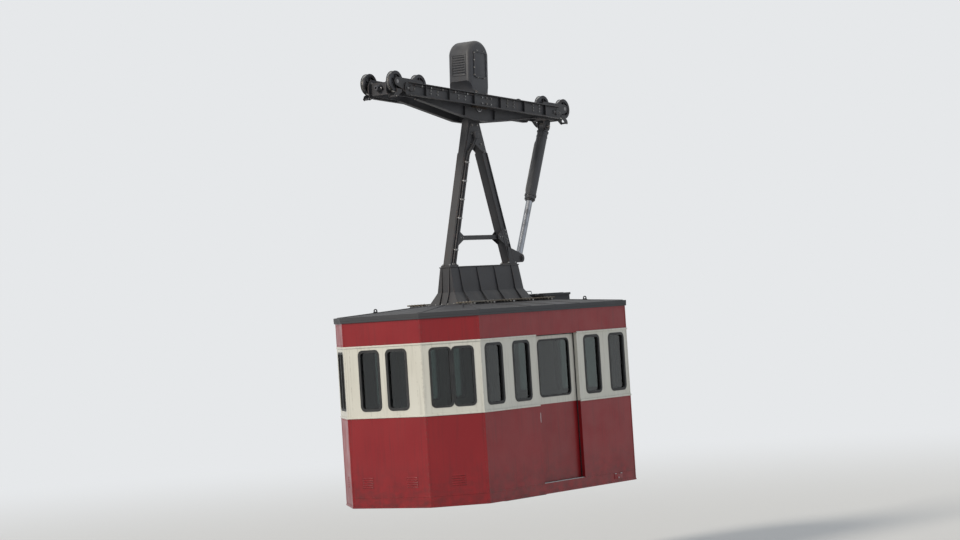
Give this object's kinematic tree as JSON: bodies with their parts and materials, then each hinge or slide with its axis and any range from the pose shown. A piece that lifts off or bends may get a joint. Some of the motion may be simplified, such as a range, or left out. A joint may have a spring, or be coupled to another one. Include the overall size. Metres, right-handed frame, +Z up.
{
  "type": "aerial tramway car",
  "caption": "Eight-sided red tramway cabin with sliding doors, hung by an A-frame and damper from a wheeled carriage for two track ropes.",
  "frame": {"origin": "hanger pivot axis, midway between the two track rope lines", "axes": "+X along the ropes, downhill, +Y across them, +Z up"},
  "size_m": [4.564, 2.384, 6.2134],
  "materials": {
    "red_paint": "gloss",
    "white_paint": "gloss",
    "roof_paint": "satin",
    "dark_paint": "satin",
    "glass": "clear",
    "bare_steel": "worn",
    "cast_steel": "greasy",
    "floor_cover": "ribbed",
    "rail_alloy": "anodised",
    "brake_lining": "worn"
  },
  "bodies": {
    "carriage": {"inner_beams": "dark_paint", "outer_beams": "dark_paint", "cross_members": "dark_paint", "rocker_plates": "dark_paint", "carriage_pins": "bare_steel", "pivot_pin": "bare_steel", "brake_housing": "dark_paint", "brake_jaws": "brake_lining", "haul_rope_sockets": "cast_steel", "damper_bracket": "dark_paint"},
    "cabin": {"hanger_frame": "dark_paint", "damper_foot_ears": "dark_paint", "pedestal": "dark_paint", "roof_panel": "roof_paint", "roof_hatch_coaming": "roof_paint", "upper_band_ends": "red_paint", "upper_band_chamfers": "red_paint", "upper_band_sides": "red_paint", "corner_posts": "white_paint", "window_frames_end": "white_paint", "window_frames_chamfer": "white_paint", "window_frames_side": "white_paint", "window_glass": "glass", "lower_panels_end": "red_paint", "lower_panels_chamfer": "red_paint", "lower_panels_side": "red_paint", "side_skirts": "red_paint", "floor_panel": "floor_cover", "sill_beams": "dark_paint", "cross_beams": "dark_paint", "under_floor_box": "dark_paint", "door_rails": "rail_alloy", "grab_poles": "rail_alloy", "control_desk": "dark_paint"},
    "damper_barrel": {"damper_barrel": "dark_paint"},
    "damper_rod": {"damper_rod": "bare_steel"},
    "door_right": {"door_leaf_right": "red_paint", "door_glass_right": "glass"},
    "door_left": {"door_leaf_left": "red_paint", "door_glass_left": "glass"},
    "roof_hatch": {"roof_hatch_lid": "roof_paint"},
    "floor_hatch": {"floor_hatch_lid": "floor_cover"},
    "wheel_upper_right_outer": {"wheel_upper_right_outer": "cast_steel"},
    "wheel_upper_right_inner": {"wheel_upper_right_inner": "cast_steel"},
    "wheel_upper_left_outer": {"wheel_upper_left_outer": "cast_steel"},
    "wheel_upper_left_inner": {"wheel_upper_left_inner": "cast_steel"},
    "wheel_lower_right_outer": {"wheel_lower_right_outer": "cast_steel"},
    "wheel_lower_right_inner": {"wheel_lower_right_inner": "cast_steel"},
    "wheel_lower_left_outer": {"wheel_lower_left_outer": "cast_steel"},
    "wheel_lower_left_inner": {"wheel_lower_left_inner": "cast_steel"}
  },
  "joints": [
    {"name": "hanger_swing", "type": "hinge", "parent": "carriage", "child": "cabin", "pos_m": [0, 0, 0], "axis": [0, 1, 0], "range_deg": [-15, 15]},
    {"name": "damper_tilt", "type": "hinge", "parent": "carriage", "child": "damper_barrel", "pos_m": [1.74804, 0, -0.2325], "axis": [0, 1, 0], "range_deg": [-11.69, 11.69]},
    {"name": "damper_stroke", "type": "slide", "parent": "damper_barrel", "child": "damper_rod", "axis": [-0.4127, 0, -0.9109], "range_m": [-0.447, 0.447]},
    {"name": "door_right_slide", "type": "slide", "parent": "cabin", "child": "door_right", "axis": [1, 0, 0], "range_m": [0, 0.94]},
    {"name": "door_left_slide", "type": "slide", "parent": "cabin", "child": "door_left", "axis": [-1, 0, 0], "range_m": [0, 0.94]},
    {"name": "roof_hatch_hinge", "type": "hinge", "parent": "cabin", "child": "roof_hatch", "pos_m": [1.701, 0, -2.6], "axis": [0, 1, 0], "range_deg": [0, 100]},
    {"name": "floor_hatch_hinge", "type": "hinge", "parent": "cabin", "child": "floor_hatch", "pos_m": [-1.78, 0, -5.046], "axis": [0, -1, 0], "range_deg": [0, 95]},
    {"name": "wheel_upper_right_outer_spin", "type": "hinge", "parent": "carriage", "child": "wheel_upper_right_outer", "pos_m": [-1.90577, -0.21, 0.2706], "axis": [0, 1, 0], "continuous": true},
    {"name": "wheel_upper_right_inner_spin", "type": "hinge", "parent": "carriage", "child": "wheel_upper_right_inner", "pos_m": [-1.40698, -0.21, 0.23572], "axis": [0, 1, 0], "continuous": true},
    {"name": "wheel_upper_left_outer_spin", "type": "hinge", "parent": "carriage", "child": "wheel_upper_left_outer", "pos_m": [-1.90577, 0.21, 0.2706], "axis": [0, 1, 0], "continuous": true},
    {"name": "wheel_upper_left_inner_spin", "type": "hinge", "parent": "carriage", "child": "wheel_upper_left_inner", "pos_m": [-1.40698, 0.21, 0.23572], "axis": [0, 1, 0], "continuous": true},
    {"name": "wheel_lower_right_outer_spin", "type": "hinge", "parent": "carriage", "child": "wheel_lower_right_outer", "pos_m": [1.92488, -0.21, 0.00273], "axis": [0, 1, 0], "continuous": true},
    {"name": "wheel_lower_right_inner_spin", "type": "hinge", "parent": "carriage", "child": "wheel_lower_right_inner", "pos_m": [1.4261, -0.21, 0.03761], "axis": [0, 1, 0], "continuous": true},
    {"name": "wheel_lower_left_outer_spin", "type": "hinge", "parent": "carriage", "child": "wheel_lower_left_outer", "pos_m": [1.92488, 0.21, 0.00273], "axis": [0, 1, 0], "continuous": true},
    {"name": "wheel_lower_left_inner_spin", "type": "hinge", "parent": "carriage", "child": "wheel_lower_left_inner", "pos_m": [1.4261, 0.21, 0.03761], "axis": [0, 1, 0], "continuous": true}
  ],
  "couplings": [
    {"joint": "damper_tilt", "follows": "hanger_swing", "ratio": 0.74598},
    {"joint": "damper_stroke", "follows": "hanger_swing", "m_per_rad": 1.6882}
  ]
}
